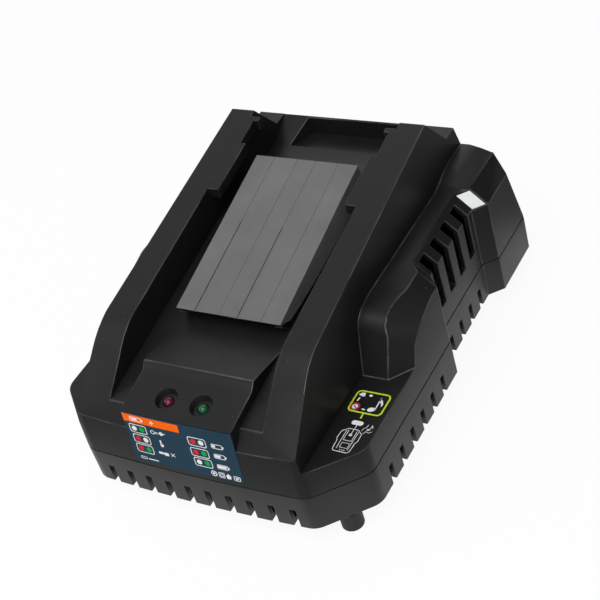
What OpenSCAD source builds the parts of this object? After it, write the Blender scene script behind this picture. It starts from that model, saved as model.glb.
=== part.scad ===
// Slide-in battery pack charger: two-part housing, sloping battery bay, sliding contact cover.
// X is to the right, Y to the back, Z up; the feet stand on z = 0 and x = 0 is the mid-plane.

/* [Housing] */
// full width over the side pods
overall_width = 150.2; // [148:0.5:154]
// full depth from the front corners to the back edge
overall_depth = 190.5; // [188:0.5:194]
// height of the lower shell under the parting line
lower_height = 18.5; // [17.5:0.5:21]
// height of the shoulder ledge over the parting line
shoulder_height = 13.1; // [12.5:0.1:14]
// height of the rail tops over the parting line at the back
rail_top = 68.9; // [68:0.5:71]
// thickness of the housing walls
wall = 2.4; // [2:0.1:2.6]
// plan chamfer of the two front corners
front_corner = 20.4; // [18:0.2:22]
// bulge of the front edge
front_bow = 1.5; // [0.5:0.1:2]
// rounding of the front and side corners
corner_round = 9; // [7:0.5:10]
// open gap of the parting line between the shells
parting_gap = 0.3; // [0.1:0.05:0.4]

/* [Battery bay] */
// distance between the two rails
bay_width = 75.7; // [75.3:0.1:76.5]
// reach of the hook tabs over the channel
tab_reach = 5.6; // [4.5:0.1:6]
// thickness of the hook tabs
tab_thickness = 5; // [4:0.2:6]
// outer width of the fixed guides under the cover
guide_width = 52; // [51:0.2:52.4]

/* [Contact cover] */
// width of the sliding cover plate
cover_width = 52.4; // [51:0.2:53]
// length of the cover along the slope
cover_length = 86; // [84:0.5:87]
// thickness of the cover plate
cover_thickness = 2.2; // [1.8:0.1:2.4]
// width of the lengthways grooves in the plate
groove_width = 0.9; // [0.6:0.1:1.2]
// gap between the cover and its guides, each side
cover_gap = 0.15; // [0.1:0.05:0.25]
// travel of the cover down the slope
cover_travel = 18; // [14:0.5:18]

/* [Vents] */
// width of each bottom slot
slot_width = 3; // [2.4:0.1:3.4]
// width of each upper side vent
vent_width = 5.6; // [4.6:0.2:6]
// number of slots along the front
front_slots = 10; // [8:1:10]
// height of the bottom slots
slot_height = 9.8; // [8:0.2:11]
// depth of the side recess that holds the upper vents
recess_depth = 5.9; // [5:0.1:6.4]

/* [Lamps] */
// diameter of each lamp
lamp_diameter = 5; // [4.8:0.1:5.2]
// distance between the two lamps
lamp_spacing = 17.2; // [16:0.2:18]
// diameter of the dished lamp openings
dish_diameter = 10.4; // [9:0.2:11]

/* [Feet and screws] */
// diameter of the feet
foot_diameter = 9.8; // [9:0.2:10.4]
// height of the feet under the housing
foot_height = 9; // [7:0.5:10]
// diameter of the housing screws
screw_diameter = 3.5; // [3:0.1:3.8]

/* [Inside] */
// thickness of the circuit boards
board_thickness = 1.6; // [1.2:0.1:2]
// height of the board over the floor
board_rise = 5; // [4.5:0.1:5.5]
// diameter of the large capacitor
capacitor_diameter = 18; // [16:0.5:20]
// height of the transformer core
core_height = 24; // [22:0.5:26]

/* [Hidden] */
$fn = 48;

e = 0.01;
hw = overall_width / 2;
deep = overall_depth;
pl = lower_height + foot_height;
mid = deep / 2 - 0.75;
ka = hw - front_corner;
k8 = 0.41421356;
rail_slope = 0.18;
rail_end = deep - 31.9;
recess_start = 98.5;
recess_end = 149.2;
rear_corner = 4.6;
rear_lean = 11.3;
fold_height = 18.8;
hump_top = 29.3;
hump_half = 27.4;
bay_half = bay_width / 2;
floor_slope = 0.161;
guide_half = guide_width / 2;
plate_angle = 13.2;
plate_y = 52.2;
plate_z = 41.3;
plate_tan = tan(plate_angle);
pocket_z = 42.8;
pod_top = 38.3;
hump_z = 42.3;
pod_front = 58.6;
bevel_x = hw - 7.5;
bevel_z = 31;
foot_x = ka + 7.6;
foot_y = 14.3;
rear_foot_y = deep - 14.5;
boss_x = 66;
boss_y = 33;
rear_boss_x = hw - 16.1;
rear_boss_y = deep - 25;
board_z = pl - lower_height + wall + board_rise;
board_top = board_z + board_thickness;
board_half = 55;
board_front = 10;
board_back = deep - 38.5;
inlet_x = max(-36, 23 - rear_boss_x);
inlet_z = pl + 12;
inlet_face = deep - 4.5;
lamp_seat = -3.1;
label_thickness = 0.3;

// puts a piece drawn from the front edge backwards onto the shared middle
module seat() {
  translate([0, -mid, 0]) children();
}

module both() {
  children();
  mirror([1, 0, 0]) children();
}

// points of a rounded corner at p, from heading a0 to heading a1
function turn(p, a0, a1, r) =
  let (s = p - r * tan((a1 - a0) / 2) * [cos(a0), sin(a0)], c = s + r * [-sin(a0), cos(a0)])
  [for (i = [0 : 6]) let (q = a0 + (a1 - a0) * i / 6) c + r * [sin(q), -cos(q)]];

// plan of the housing at the parting line, drawn in by w
module plan(w) {
  a = ka - k8 * w;
  k = k8 * w;
  r = recess_depth;
  lead_in = atan(2 * front_bow / a);
  right = concat(turn([a, w], lead_in, 45, corner_round - w),
    turn([hw - w, front_corner + k], 45, 90, corner_round - w),
    [[hw - w, recess_start - k],
    [hw - r - w, recess_start + r - k], [hw - r - w, recess_end + k],
    [hw - w, recess_end + r + k], [hw - w, deep - rear_corner - k],
    [hw - rear_corner - k, deep - w]]);
  left = [for (i = [19 : -1 : 0]) [-right[i][0], right[i][1]]];
  front = [for (i = [-7 : 7]) [a * i / 8, w - front_bow * (1 - i * i / 64)]];
  polygon(concat(front, right, left));
}

// extrudes a side-view outline [y, z] across x from -h to h
module side(h, pts) {
  translate([h, 0, 0])
    rotate([0, -90, 0])
      linear_extrude(2 * h)
        polygon([for (p = pts) [p[1], p[0]]]);
}

// extrudes a front-view outline [x, z] from y0 to y1
module front(y0, y1, pts) {
  translate([0, y1, 0])
    rotate([90, 0, 0])
      linear_extrude(y1 - y0)
        polygon(pts);
}

function rail_z(y) = rail_top - rail_slope * (rail_end - y);
function floor_z(y) = 26.4 + floor_slope * (y - 9.3);
function cover_z(y) = plate_z + plate_tan * (y - plate_y);

// side view of the rails and the rear, over the parting line
function rail_side(w) = [
  [-4, -e], [-4, fold_height - 2 - w], [-1.5 + w, fold_height - w * 0.4],
  [22 + w * 0.7, 37.6 - w * 0.7], [26 + w * 0.6, 41 - w * 0.8],
  [30 + w * 0.5, 43.7 - w * 0.8], [34 + w * 0.3, 45.7 - w * 0.9], [38, rail_z(38) - w],
  [rail_end - w * 0.8, rail_top - w], [rail_end + 13.4 - w * 0.8, 52 - w],
  [deep + 2, 52.4 - w], [deep + 2, -e]];

module rear_cut(w) {
  // leaning back face
  translate([0, deep - w, 0])
    rotate([rear_lean, 0, 0])
      translate([-100, 0, -20]) cube([200, 40, 110]);
  // leaning rear corners
  both()
    translate([hw - rear_corner - w * k8, deep - w, 0])
      rotate([0, 0, -45])
        rotate([rear_lean, 0, 0])
          translate([-60, 0, -20]) cube([120, 40, 110]);
}

module centre_body(w) {
  intersection() {
    side(60, rail_side(w));
    front(-5, deep + 1, [[-56 + w, -e], [56 - w, -e], [55 - w, 13.1], [50.2 - w, 69],
      [50 - w, 74], [-50 + w, 74], [-50.2 + w, 69], [-55 + w, 13.1]]);
    translate([0, 0, -e]) linear_extrude(90) plan(w);
  }
}

module pod(w) {
  k = k8 * w;
  difference() {
    union() {
      intersection() {
        front(50, deep + 1, [[40, -e], [hw - w, -e], [hw - w, bevel_z - k],
          [bevel_x - k, pod_top - w], [40, pod_top - w]]);
        side(90, [[pod_front - 5.5 + w, -e], [pod_front + w * 1.1, 13.1],
          [pod_front + 7.7 + w, 31.7 - w * 0.2], [pod_front + 9.6 + w, 34.6 - w * 0.5],
          [pod_front + 12.9 + w, 36.7 - w], [pod_front + 17.4, 37.9 - w],
          [pod_front + 23.4, pod_top - w], [deep + 1, pod_top - w], [deep + 1, -e]]);
      }
      intersection() {
        front(140, deep + 1, [[40, -e], [hw - w, -e], [hw - w, bevel_z - k],
          [bevel_x - k, pod_top - 0.4 - w], [hw - 14.6 - k, hump_z - 1.1 - w],
          [hw - 18.1, hump_z - w], [40, hump_z - w]]);
        side(90, [[141 + w, -e], [149 + w, pod_top - w], [155 + w, pod_top + 1.3 - w],
          [161 + w, hump_z - 1 - w], [166, hump_z - w], [deep + 1, hump_z - w],
          [deep + 1, -e]]);
      }
    }
    // diagonal front face of the pod, rolling over into the bevel
    cut_face([bevel_x - 0.6, pod_front + 0.2, 13.1], [0.73, -0.636, 0.251], w);
    cut_face([bevel_x - 0.6, pod_front + 7.4, 31], [0.796, -0.358, 0.488], w);
    cut_face([bevel_x, pod_front + 28.4, pod_top], [0.75, -0.17, 0.639], w);
    // side recess with slanted ends, on the wall and on the bevel
    translate([0, 0, -1]) linear_extrude(80) recess_plan(hw - w, recess_depth, k);
    translate([hw - w, 0, bevel_z - k])
      rotate([0, -45.8, 0])
        translate([0, 0, -40])
          linear_extrude(80)
            recess_plan(0, recess_depth * 0.697, k * 0.7);
    rear_cut(w);
  }
}

// what lies beyond a plane through p, moved in by w against its direction n
module cut_face(p, n, w) {
  translate([p[0] - n[0] * w, p[1] - n[1] * w, p[2] - n[2] * w])
    rotate([0, acos(n[2]), atan2(n[1], n[0])])
      translate([-50, -50, 0]) cube([100, 100, 60]);
}

module recess_plan(x, d, k) {
  s = recess_depth;
  polygon([[x + 20, recess_start - 20 - k], [x, recess_start - k], [x - d, recess_start + s - k],
    [x - d, recess_end + k], [x, recess_end + s + k], [x + 20, recess_end + s + 20 + k]]);
}

// the shape cut out over the bay floor
module bay_cut() {
  side(bay_half, [[-6, floor_z(-6)], [138, floor_z(138)], [144, 44], [deep - 24.4, 44.3],
    [deep - 10.8, 52], [deep + 5, 52], [deep + 5, 95], [-6, 95]]);
}

module hook_tabs() {
  t = tab_thickness;
  both() {
    // long tab with its recessed web and the small end tab
    side_piece(bay_half - tab_reach, 110, 138.5, t);
    side_piece(bay_half - tab_reach / 2, 138.4, 152.6, t);
    side_piece(bay_half - tab_reach + 0.3, 152.5, 155, t);
  }
}

module side_piece(x0, y0, y1, t) {
  difference() {
    translate([x0, y0, rail_z(y0) - t - 1]) cube([bay_half - x0 + 1, y1 - y0, 20]);
    // flush with the slanted rail top, flat slanted underside
    side(60, [[90, rail_z(90)], [170, rail_z(170)], [170, 110], [90, 110]]);
    side(60, [[90, rail_z(90) - t], [170, rail_z(170) - t], [170, 20], [90, 20]]);
  }
}

// valley in front of the cover, and the lamp hump
module hump() {
  intersection() {
    side(hump_half, [[50, 20], [50, floor_z(50) - 1], [46, floor_z(46)], [24.7, 36.1],
      [21.4, 32.9], [0, hump_top], [-5, hump_top - 0.2], [-5, 10], [2, 10]]);
    linear_extrude(60) plan(0);
  }
}

module hump_cavity() {
  intersection() {
    side(hump_half - wall, [[50, 15], [46, 27], [26, 30], [22, 28.8], [4, 25.6],
      [-5, 24.6], [-5, -e], [2, -e]]);
    linear_extrude(60) plan(wall);
  }
}

// vertical drop of a plane d under the top face of the cover
function under(y, d) = cover_z(y) - d / cos(plate_angle);

// fixed guides under the cover's sides, with a groove for its feet and a closed back
module guides() {
  t = cover_thickness;
  difference() {
    union() {
      both()
        translate([guide_in, plate_y + 0.3, 25]) cube([guide_half - guide_in, 84.3, 45]);
      translate([-guide_half, plate_y + 81.4, 30]) cube([guide_width, 3.2, 40]);
    }
    side(60, [[40, under(40, t + cover_gap)], [160, under(160, t + cover_gap)], [160, 90], [40, 90]]);
    side(60, [[40, 10], [40, floor_z(40) - 1], [145, floor_z(145) - 1], [145, 10]]);
    // front ends lean back under the lip of the cover
    side(60, [[40, 60], [plate_y + 0.6, 60], [plate_y + 0.6, under(plate_y, t)],
      [plate_y + 10.6, under(plate_y, t) - 10], [plate_y + 10.6, 20], [40, 20]]);
    side(guide_in + foot_reach + cover_gap, [[40, under(40, t + leg_drop + cover_gap)],
      [133, under(133, t + leg_drop + cover_gap)],
      [133, under(133, t + leg_drop - foot_rise - cover_gap)],
      [40, under(40, t + leg_drop - foot_rise - cover_gap)]]);
  }
}

guide_in = guide_half - 3.4;
leg_drop = 3.4;
foot_rise = 1.2;
foot_reach = 1.6;
leg_out = guide_in - cover_gap;
leg_in = leg_out - 2.2;
tongue_start = cover_travel + 6;
stop_end = 18;
lug_start = 46;

// stops that carry the front ends of the two cover springs
module spring_stops() {
  translate([0, plate_y, plate_z])
    rotate([plate_angle, 0, 0])
      both()
        translate([leg_in - 4.8, stop_end - 4, -cover_thickness - 8]) cube([4.4, 4, 7.5]);
}

// everything that is hollow inside the upper shell
module upper_cavity() {
  w = wall;
  // under the shoulder and the skirt
  translate([0, 0, -1]) linear_extrude(shoulder_height - w + 1) plan(w);
  // under the bay floor
  intersection() {
    side(46, [[w, -1], [w, 14], [9.3, floor_z(9.3) - w - 0.6],
      [137, floor_z(137) - w], [142, pocket_z - w], [deep - 9, pocket_z - w],
      [deep - 9, -1]]);
    translate([0, 0, -1]) linear_extrude(90) plan(w);
    centre_body(w);
  }
  // inside both rails
  both()
    intersection() {
      centre_body(w);
      translate([bay_half + w, -5, -1]) cube([30, deep - 12, 90]);
    }
  both() pod(w);
  hump_cavity();
}

module upper_vents() {
  both()
    for (i = [0 : 3])
      translate([hw - recess_depth - 6.8, 109.8 + 11 * i - vent_width / 2, shoulder_height - 3])
        cube([20, vent_width, 26]);
}

module lamp_axis(s) {
  translate([s * lamp_spacing / 2, 10.7, 29.3 + 0.168 * 10.7])
    rotate([9.6, 0, 0]) children();
}

module screw_posts() {
  both() {
    translate([boss_x, boss_y, 0]) cylinder(d = 8, h = shoulder_height - 1);
    translate([rear_boss_x, rear_boss_y, 0]) cylinder(d = 8, h = pod_top - 1);
  }
}

module screw_pilots() {
  both() {
    translate([boss_x, boss_y, -1])
      cylinder(d = screw_diameter + 0.1, h = shoulder_height - 1);
    translate([rear_boss_x, rear_boss_y, -1])
      cylinder(d = screw_diameter + 0.1, h = shoulder_height - 1);
  }
}

module upper_shell() {
  color("#1c1d1f")
  seat()
  difference() {
    translate([0, 0, pl])
      union() {
        difference() {
          union() {
            linear_extrude(shoulder_height) plan(0);
            centre_body(0);
            both() pod(0);
          }
          rear_cut(0);
          bay_cut();
          upper_cavity();
          upper_vents();
        }
        intersection() {
          difference() {
            hump();
            hump_cavity();
          }
          translate([0, 0, -e]) linear_extrude(90) plan(0);
        }
        guides();
        spring_stops();
        hook_tabs();
        intersection() {
          screw_posts();
          union() {
            linear_extrude(shoulder_height) plan(1);
            both() pod(1);
          }
        }
        // pad behind the mains inlet
        translate([inlet_x - 15, inlet_face - 3.5, 1.5]) cube([30, 3.5, 21]);
      }
    translate([0, 0, pl]) {
      screw_pilots();
      // latch pocket behind the bay
      translate([0, 0, pocket_z])
        linear_extrude(30)
          polygon([[-29.5, deep - 24.4], [29.5, deep - 24.4], [24, deep - 11.2],
            [-24, deep - 11.2]]);
      // lamp openings with dished rims
      for (s = [-1, 1])
        lamp_axis(s) {
          translate([0, 0, -6]) cylinder(d = lamp_diameter + 0.3, h = 12);
          translate([0, 0, -2.4])
            cylinder(d1 = dish_diameter - 2.2, d2 = dish_diameter + 0.4, h = 2.9);
        }
      // rebate over the lower shell's rim
      translate([0, 0, -1])
        linear_extrude(2.8)
          difference() {
            plan(1.1);
            plan(wall + 0.1);
          }
    }
    // flat seat and hole of the mains inlet
    translate([inlet_x - 13, inlet_face, inlet_z - 9]) cube([26, 20, 18]);
    translate([inlet_x - inlet_w / 2 - 0.1, inlet_face - 10, inlet_z - inlet_h / 2 - 0.1])
      cube([inlet_w + 0.2, 12, inlet_h + 0.2]);
    // lead slot from the terminal block to the inside
    translate([-14, 103, pl + 30]) cube([28, 4, 14.5]);
    label_volume();
  }
}

inlet_w = 20.4;
inlet_h = 13;

module front_teeth() {
  pitch = 10.22;
  for (i = [0 : front_slots - 1])
    translate([(i - (front_slots - 1) / 2) * pitch - slot_width / 2, -5, -lower_height - 1])
      cube([slot_width, 10.5, slot_height + 1]);
}

module side_teeth() {
  both() {
    for (i = [0 : 5])
      translate([hw - 3.6, 33 + 10.45 * i - slot_width / 2, -lower_height - 1])
        cube([8, slot_width, slot_height + 1]);
    for (i = [0 : 3])
      translate([hw - recess_depth - 3.6, 109.5 + 10.6 * i - slot_width / 2,
        -lower_height - 1])
        cube([8, slot_width, slot_height + 1]);
  }
}

module lower_shell() {
  color("#1a1b1d")
  seat()
  translate([0, 0, pl])
  difference() {
    union() {
      difference() {
        translate([0, 0, -lower_height]) linear_extrude(lower_height - parting_gap) plan(0);
        translate([0, 0, -lower_height + wall]) linear_extrude(lower_height) plan(wall);
      }
      // rim that enters the upper shell
      translate([0, 0, -1])
        linear_extrude(2.5)
          difference() {
            plan(1.25);
            plan(wall);
          }
      both() {
        translate([boss_x, boss_y, -lower_height + 1])
          cylinder(d = 8, h = lower_height - 1.1);
        translate([rear_boss_x, rear_boss_y, -lower_height + 1])
          cylinder(d = 8, h = lower_height - 1.1);
      }
      standoffs() cylinder(d = 6, h = board_rise + 1);
    }
    front_teeth();
    side_teeth();
    // screw holes with sunk head seats
    both() {
      for (p = [[boss_x, boss_y], [rear_boss_x, rear_boss_y]])
        translate([p[0], p[1], -lower_height - 1]) {
          cylinder(d = screw_diameter + 0.8, h = 40);
          cylinder(d = 7.4, h = 9);
        }
      for (p = [[foot_x, foot_y], [foot_x, rear_foot_y]])
        translate([p[0], p[1], -lower_height - 1])
          cylinder(d = 5, h = 10);
    }
    standoffs() translate([0, 0, 0.5]) cylinder(d = 2.6, h = 12);
  }
}

module standoffs() {
  for (p = [[-49, 16], [49, 16], [-49, deep - 44.5], [49, deep - 44.5]])
    translate([p[0], p[1], -lower_height + wall - 1]) children();
}

// sliding cover over the contacts, with lengthways grooves, tongues and a spring lug
module terminal_cover() {
  w = cover_width;
  t = cover_thickness;
  // wide grooves on the front half, fine lines over the whole length
  wide = [0.19, 0.6];
  fine = [0.19, 0.42, 0.6, 0.82];
  color("#77787a")
  seat()
  translate([0, plate_y, pl + plate_z])
  rotate([plate_angle, 0, 0]) {
    difference() {
      translate([-w / 2, 0, -t]) cube([w, cover_length, t]);
      for (f = wide)
        translate([(f - 0.5) * w - groove_width / 2, -1, -0.5])
          cube([groove_width, cover_length * 0.56 + 1, 2]);
      for (f = fine)
        translate([(f - 0.5) * w - groove_width / 5, -1, -0.15])
          cube([groove_width * 0.4, cover_length + 2, 2]);
    }
    // legs and outward feet that run in the guides
    both() {
      translate([leg_in, tongue_start, -t - leg_drop])
        cube([leg_out - leg_in, 80 - tongue_start, leg_drop + 0.1]);
      translate([leg_in, tongue_start, -t - leg_drop])
        cube([leg_out - leg_in + foot_reach, 80 - tongue_start, foot_rise]);
    }
    // lugs that the springs push on
    both()
      translate([leg_in - 4.8, lug_start, -t - 5.6]) cube([5, 3, 5.8]);
  }
}

spring_x = leg_in - 2.6;
spring_r = 2;
spring_wire = 0.5;
spring_len = lug_start - stop_end - 0.2;
spring_turns = 10;

// compression springs between the fixed stops and the cover lugs
module cover_springs() {
  color("#b8bcc0")
  seat()
  translate([0, plate_y, pl + plate_z])
  rotate([plate_angle, 0, 0])
    both()
      translate([spring_x, stop_end + 0.1, -cover_thickness - 2.9])
        rotate([-90, 0, 0]) coil(spring_r, spring_wire, spring_len, spring_turns);
}

// one unbroken wound wire: 8 rings a turn of 6 sides
module coil(r, d, h, n) {
  steps = n * 8;
  rings = [for (i = [0 : steps]) [for (j = [0 : 5])
    let (a = 360 * i / 8, b = 60 * j, rr = r + d / 2 * cos(b))
    [rr * cos(a), rr * sin(a), d / 2 + (h - d) * i / steps + d / 2 * sin(b)]]];
  pts = [for (g = rings) for (p = g) p];
  sides = [for (i = [0 : steps - 1]) for (j = [0 : 5]) for (u = [0, 1])
    let (p = i * 6 + j, q = i * 6 + (j + 1) % 6)
    u == 0 ? [p, q, q + 6] : [p, q + 6, p + 6]];
  z = steps * 6;
  ends = [[2, 1, 0], [3, 2, 0], [4, 3, 0], [5, 4, 0],
    [z, z + 1, z + 2], [z, z + 2, z + 3], [z, z + 3, z + 4], [z, z + 4, z + 5]];
  polyhedron(pts, concat(sides, ends), 10);
}
echo(spring_least_gap = (spring_len - spring_wire) / spring_turns - spring_wire);

// moulded contact carrier on the bay floor
module terminal_block() {
  color("#2b2c2e")
  seat()
  translate([0, 0, pl])
  difference() {
    side(19, [[102.6, floor_z(102.6) + 0.05], [132.6, floor_z(132.6) + 0.05],
      [132.6, floor_z(132.6) + 3.6], [102.6, floor_z(102.6) + 3.6]]);
    for (i = [-2 : 2])
      translate([i * 8 - 0.5, 109, 40]) cube([1, 22, 30]);
    translate([-13, 103.8, 20]) cube([26, 3, 40]);
  }
}

module contact_blades() {
  color("#c9a75a")
  seat()
  translate([0, 0, pl])
    for (i = [-2 : 2])
      translate([i * 8, 0, 0])
        side(0.4, [[110, floor_z(110) + 0.4], [130, floor_z(130) + 0.4],
          [130, floor_z(130) + 8.6], [127, floor_z(127) + 9], [112, floor_z(112) + 8.4],
          [110, floor_z(110) + 6.4]]);
}

module lamp(s) {
  d = lamp_diameter;
  seat()
  translate([0, 0, pl])
    lamp_axis(s) {
      translate([0, 0, lamp_seat - 6.4]) cylinder(d = d, h = 6.4);
      translate([0, 0, lamp_seat]) difference() {
        sphere(d = d);
        translate([-5, -5, -10]) cube([10, 10, 10]);
      }
      translate([0, 0, lamp_seat - 6.4]) cylinder(d = d + 0.8, h = 1);
      for (x = [-1.27, 1.27])
        translate([x - 0.25, -0.25, lamp_seat - 11.2]) cube([0.5, 0.5, 5]);
    }
}

module lamp_red() {
  color("#7a1230") lamp(-1);
}

module lamp_green() {
  color("#1c6a34") lamp(1);
}

module lamp_board() {
  color("#1f5a35")
  seat()
  translate([0, 10.7, pl + 29.3 + 0.168 * 10.7])
    rotate([9.6, 0, 0])
      difference() {
        translate([-18, -6, lamp_seat - 11 - board_thickness])
          cube([36, 12, board_thickness]);
        for (s = [-1, 1])
          for (x = [-1.27, 1.27])
            translate([s * lamp_spacing / 2 + x, 0, lamp_seat - 14]) cylinder(d = 0.9, h = 6);
      }
}

module main_board() {
  color("#1f5a35")
  seat()
  difference() {
    translate([-board_half, board_front, board_z])
      cube([2 * board_half, board_back - board_front, board_thickness]);
    translate([0, 0, pl]) standoffs() cylinder(d = 3.4, h = 20);
  }
}

core_x = 8;
core_y = (board_front + board_back) / 2 + 11;

module transformer_core() {
  color("#3c3d40")
  seat()
  translate([core_x, core_y, board_top + 3.05])
    difference() {
      translate([-19, -17, 0]) cube([38, 34, core_height]);
      translate([-13, -20, 5]) cube([26, 40, core_height - 10]);
    }
  color("#3c3d40")
  seat()
  translate([core_x - 5, core_y - 17, board_top + 3.05]) cube([10, 34, core_height]);
}

module transformer_winding() {
  color("#c9a227")
  seat()
  translate([core_x, core_y, board_top])
    difference() {
      union() {
        translate([-12.9, -24, 8.15]) cube([25.8, 48, core_height - 10.2]);
        for (s = [-1, 1])
          translate([-14, s * 21 - 3, 0.05]) cube([28, 6, 9]);
      }
      translate([-5.1, -17.1, -1]) cube([10.2, 34.2, core_height + 8]);
    }
}

module bulk_capacitor() {
  color("#20242c")
  seat()
  translate([-36, 118, board_top + 0.05]) {
    cylinder(d = capacitor_diameter, h = 30);
    translate([0, 0, 29.5]) cylinder(d = capacitor_diameter - 2.5, h = 0.8);
  }
}

module output_capacitors() {
  color("#262b33")
  seat()
  for (p = [[-46, 32], [-46, 44]])
    translate([p[0], p[1], board_top + 0.05]) cylinder(d = 10, h = 20);
}

module filter_capacitor() {
  color("#c8a93a")
  seat()
  translate([-12, board_back - 18, board_top + 0.05]) cube([18, 8, 14]);
}

module filter_choke() {
  color("#4a3a2c")
  seat()
  translate([32, board_back - 20, board_top + 9])
    rotate([90, 0, 0])
      difference() {
        cylinder(d = 17.8, h = 8, center = true);
        cylinder(d = 7, h = 10, center = true);
      }
}

module fuse() {
  color("#cfd2d4")
  seat()
  translate([-46, 92, board_top + 3.6])
    rotate([-90, 0, 0]) {
      cylinder(d = 5, h = 20);
      translate([0, 0, 2]) for (z = [0, 13]) translate([-3, 0, z]) cube([6, 3.5, 3]);
    }
}

module rectifier() {
  color("#17181a")
  seat()
  translate([-16, 108, board_top + 0.05]) translate([-10, 0, 0]) cube([4, 18, 15]);
}

module heat_sinks() {
  color("#b9bcc0")
  seat()
  both()
    translate([28, 0, board_top + 0.05]) {
      translate([0, 34, 0]) cube([3, 44, 26]);
      for (y = [36, 44, 68, 76]) translate([2.9, y, 0]) cube([8, 1.6, 26]);
    }
}

module power_transistors() {
  color("#151618")
  seat()
  both()
    translate([23.4, 51, board_top]) {
      translate([0, 0, 5]) cube([4.55, 10, 15]);
      for (y = [1.5, 4.5, 7.5]) translate([1.5, y, 0.05]) cube([0.6, 0.8, 5.1]);
    }
}

module buzzer() {
  color("#111213")
  seat()
  translate([0, 26, board_top + 0.05])
    difference() {
      cylinder(d = 12, h = 9);
      translate([0, 0, 7]) cylinder(d = 2, h = 3);
    }
}

module mains_inlet() {
  d = 8.2;
  color("#0f1011")
  seat()
  translate([inlet_x, inlet_face, inlet_z])
    difference() {
      union() {
        translate([-inlet_w / 2, -19, -inlet_h / 2]) cube([inlet_w, 19.6, inlet_h]);
        translate([-12.7, 0.03, -8.7]) cube([25.4, 2, 17.4]);
      }
      for (s = [-1, 1])
        translate([s * 4.3, 3, 0]) rotate([90, 0, 0]) cylinder(d = d, h = 16);
      translate([-4.3, -13, -2.4]) cube([8.6, 16, 4.8]);
      for (s = [-1, 1])
        translate([s * 4.3, 0, 0]) rotate([90, 0, 0]) cylinder(d = 2.42, h = 25);
    }
}

module inlet_pins() {
  color("#c8ccd0")
  seat()
  translate([inlet_x, inlet_face, inlet_z])
    for (s = [-1, 1])
      translate([s * 4.3, -2.5, 0])
        rotate([90, 0, 0]) {
          cylinder(d = 2.4, h = 20);
          translate([0, 0, 0]) sphere(d = 2.4);
        }
}

// a bent lead drawn as straight lengths with rounded joints
module lead(d, pts) {
  for (i = [0 : len_of(pts) - 2])
    let (a = pts[i], b = pts[i + 1], v = b - a, l = norm(v))
    translate(a)
      rotate([0, acos(v[2] / l), atan2(v[1], v[0])])
        cylinder(d = d, h = l, $fn = 16);
  for (i = [1 : len_of(pts) - 2])
    translate(pts[i]) sphere(d = d * 1.05, $fn = 20);
}

function len_of(v) = len_count(v, 0);
function len_count(v, i) = is_undef(v[i]) ? i : len_count(v, i + 1);

module mains_leads() {
  y = inlet_face;
  color("#7a3b1e")
  seat()
  for (s = [-1, 1])
    lead(1.8, [[inlet_x + s * 4.3, y - 22.6, inlet_z], [inlet_x + s * 4.3, y - 34, inlet_z],
      [inlet_x + s * 4.3, y - 41, board_top + 0.3]]);
}

module terminal_leads() {
  color("#8a1c1c")
  seat()
  for (i = [-2 : 2])
    lead(1.6, [[i * 5.4, 105, pl + floor_z(105) + 2.6], [i * 5.4, 105, pl + 28],
      [i * 5.4 - 4, core_y - 26, pl + 22], [i * 5.4 - 4, core_y - 28, board_top + 0.3]]);
}

module housing_screws() {
  h0 = pl - lower_height + 7.97;
  color("#9a9da1")
  seat()
  both()
    for (p = [[boss_x, boss_y], [rear_boss_x, rear_boss_y]])
      translate([p[0], p[1], h0])
        difference() {
          union() {
            translate([0, 0, -2.5]) cylinder(d = 7, h = 2.5);
            translate([0, 0, -e]) cylinder(d = screw_diameter, h = 19.4);
          }
          translate([-0.5, -2, -3]) cube([1, 4, 1.6]);
          translate([-2, -0.5, -3]) cube([4, 1, 1.6]);
        }
}

module board_screws() {
  color("#9a9da1")
  seat()
  translate([0, 0, pl])
    standoffs()
      translate([0, 0, board_rise + 1 + board_thickness + 0.02]) {
        cylinder(d = 5.4, h = 2);
        translate([0, 0, -5.6]) cylinder(d = 2.5, h = 6);
      }
}

module feet() {
  color("#202123")
  seat()
  both()
    for (y = [foot_y, rear_foot_y])
      translate([foot_x, y, 0]) {
        cylinder(d = foot_diameter, h = foot_height - 0.02);
        cylinder(d = 4.9, h = foot_height + 3.5);
      }
}

module label_volume() {
  translate([0, 0, pl])
    intersection() {
      translate([-27.2, -5, 2.4]) cube([54.4, 20, 26.2]);
      linear_extrude(40)
        difference() {
          plan(-0.12);
          plan(label_thickness - 0.12);
        }
    }
}

module status_label() {
  color("#1b2333") seat() label_volume();
}

// plain sticker on the slanted step beside the side vents
module seal_sticker() {
  color("#d4d6d8")
  seat()
  translate([bevel_x - recess_depth, recess_end, pl + pod_top])
    rotate([0, 54, -45])
      translate([0, 0, 0.03])
        linear_extrude(0.2)
          polygon([[0.5, 1.6], [0.5, 7.9], [8.5, 12.4], [8.5, 6.1]]);
}

upper_shell();
lower_shell();
terminal_cover();
cover_springs();
terminal_block();
contact_blades();
lamp_red();
lamp_green();
lamp_board();
main_board();
transformer_core();
transformer_winding();
bulk_capacitor();
output_capacitors();
filter_capacitor();
filter_choke();
fuse();
rectifier();
heat_sinks();
power_transistors();
buzzer();
mains_inlet();
inlet_pins();
mains_leads();
terminal_leads();
housing_screws();
board_screws();
feet();
status_label();
seal_sticker();
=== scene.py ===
"""Finished look of a slide-in tool battery charger: moulded housing, contact cover, lamps and printed label."""

import math

import bmesh
import bpy
from mathutils import Matrix, Vector


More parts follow.
